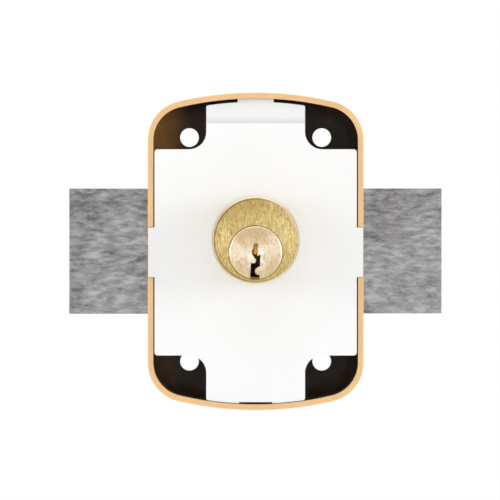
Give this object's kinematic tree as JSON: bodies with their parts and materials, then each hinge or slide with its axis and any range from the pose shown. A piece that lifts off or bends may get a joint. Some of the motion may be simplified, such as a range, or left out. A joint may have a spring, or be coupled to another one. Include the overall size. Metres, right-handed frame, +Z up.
{
  "type": "rim deadbolt lock",
  "caption": "Surface deadbolt for up-and-over and shutter doors: a round pin cylinder turns a pinion that draws flat bolts in from both sides of a drawn steel case.",
  "frame": {"origin": "on the axis of the cylinder barrel, in the plane of the case rim that rests on the door", "axes": "+Z up, +X to the right as the door face of the lock is looked at, +Y away from the door into the lock"},
  "size_m": [0.0952, 0.071, 0.081],
  "materials": {
    "case_lacquer": "satin gold-bronze lacquer",
    "knob_lacquer": "satin gold-bronze lacquer",
    "plate_enamel": "white stoved enamel",
    "bolt_steel": "streaked rolled steel, dull",
    "zinc_steel": "bright zinc plate",
    "machined_steel": "machined, lightly oiled",
    "spring_steel": "drawn wire",
    "screw_steel": "bright zinc plate",
    "barrel_brass": "fine brushed",
    "plug_brass": "fine brushed, paler",
    "pin_brass": "turned",
    "bush_brass": "turned"
  },
  "bodies": {
    "case": {"case_shell": "case_lacquer", "back_plate": "plate_enamel", "guide_pillars": "zinc_steel", "spacer_sleeves": "zinc_steel", "spring_washers": "spring_steel", "case_screws": "screw_steel", "hub_bush": "bush_brass", "cylinder_body": "barrel_brass", "cylinder_screws": "screw_steel", "chamber_caps": "barrel_brass", "pin_spring_1": "spring_steel", "pin_spring_2": "spring_steel", "pin_spring_3": "spring_steel", "pin_spring_4": "spring_steel", "pin_spring_5": "spring_steel"},
    "plug": {"cylinder_plug": "plug_brass", "plug_clip": "spring_steel", "tailpiece": "zinc_steel", "tailpiece_pin": "zinc_steel"},
    "hub": {"drive_pinion": "machined_steel", "knob": "knob_lacquer", "knob_set_screw": "screw_steel"},
    "left_bolt": {"left_bolt": "bolt_steel"},
    "right_bolt": {"right_bolt": "bolt_steel"},
    "key_pin_1": {"key_pin_1": "pin_brass"},
    "driver_pin_1": {"driver_pin_1": "machined_steel"},
    "key_pin_2": {"key_pin_2": "pin_brass"},
    "driver_pin_2": {"driver_pin_2": "machined_steel"},
    "key_pin_3": {"key_pin_3": "pin_brass"},
    "driver_pin_3": {"driver_pin_3": "machined_steel"},
    "key_pin_4": {"key_pin_4": "pin_brass"},
    "driver_pin_4": {"driver_pin_4": "machined_steel"},
    "key_pin_5": {"key_pin_5": "pin_brass"},
    "driver_pin_5": {"driver_pin_5": "machined_steel"}
  },
  "joints": [
    {"name": "plug_turn", "type": "hinge", "parent": "case", "child": "plug", "pos_m": [0, -0.015, -0.0031], "axis": [0, 1, 0], "range_deg": [0, 360]},
    {"name": "hub_turn", "type": "hinge", "parent": "case", "child": "hub", "pos_m": [0, 0.01, -0.0031], "axis": [0, 1, 0], "range_deg": [0, 360]},
    {"name": "left_bolt_throw", "type": "slide", "parent": "case", "child": "left_bolt", "axis": [1, 0, 0], "range_m": [0, 0.0201]},
    {"name": "right_bolt_throw", "type": "slide", "parent": "case", "child": "right_bolt", "axis": [-1, 0, 0], "range_m": [0, 0.0201]},
    {"name": "key_pin_1_lift", "type": "slide", "parent": "plug", "child": "key_pin_1", "axis": [0, 0, 1], "range_m": [0, 0.0012]},
    {"name": "driver_pin_1_lift", "type": "slide", "parent": "case", "child": "driver_pin_1", "axis": [0, 0, 1], "range_m": [0, 0.0012], "stiffness_N_per_m": 150, "springref_m": -0.0015, "deforming": ["pin_spring_1"]},
    {"name": "key_pin_2_lift", "type": "slide", "parent": "plug", "child": "key_pin_2", "axis": [0, 0, 1], "range_m": [0, 0.0012]},
    {"name": "driver_pin_2_lift", "type": "slide", "parent": "case", "child": "driver_pin_2", "axis": [0, 0, 1], "range_m": [0, 0.0012], "stiffness_N_per_m": 150, "springref_m": -0.0015, "deforming": ["pin_spring_2"]},
    {"name": "key_pin_3_lift", "type": "slide", "parent": "plug", "child": "key_pin_3", "axis": [0, 0, 1], "range_m": [0, 0.0012]},
    {"name": "driver_pin_3_lift", "type": "slide", "parent": "case", "child": "driver_pin_3", "axis": [0, 0, 1], "range_m": [0, 0.0012], "stiffness_N_per_m": 150, "springref_m": -0.0015, "deforming": ["pin_spring_3"]},
    {"name": "key_pin_4_lift", "type": "slide", "parent": "plug", "child": "key_pin_4", "axis": [0, 0, 1], "range_m": [0, 0.0012]},
    {"name": "driver_pin_4_lift", "type": "slide", "parent": "case", "child": "driver_pin_4", "axis": [0, 0, 1], "range_m": [0, 0.0012], "stiffness_N_per_m": 150, "springref_m": -0.0015, "deforming": ["pin_spring_4"]},
    {"name": "key_pin_5_lift", "type": "slide", "parent": "plug", "child": "key_pin_5", "axis": [0, 0, 1], "range_m": [0, 0.0012]},
    {"name": "driver_pin_5_lift", "type": "slide", "parent": "case", "child": "driver_pin_5", "axis": [0, 0, 1], "range_m": [0, 0.0012], "stiffness_N_per_m": 150, "springref_m": -0.0015, "deforming": ["pin_spring_5"]}
  ],
  "couplings": [
    {"joint": "right_bolt_throw", "follows": "left_bolt_throw", "ratio": 1},
    {"joint": "hub_turn", "follows": "left_bolt_throw", "rad_per_m": 312.6},
    {"joint": "plug_turn", "follows": "left_bolt_throw", "rad_per_m": 312.6},
    {"joint": "driver_pin_1_lift", "follows": "key_pin_1_lift", "ratio": 1},
    {"joint": "driver_pin_2_lift", "follows": "key_pin_2_lift", "ratio": 1},
    {"joint": "driver_pin_3_lift", "follows": "key_pin_3_lift", "ratio": 1},
    {"joint": "driver_pin_4_lift", "follows": "key_pin_4_lift", "ratio": 1},
    {"joint": "driver_pin_5_lift", "follows": "key_pin_5_lift", "ratio": 1}
  ]
}
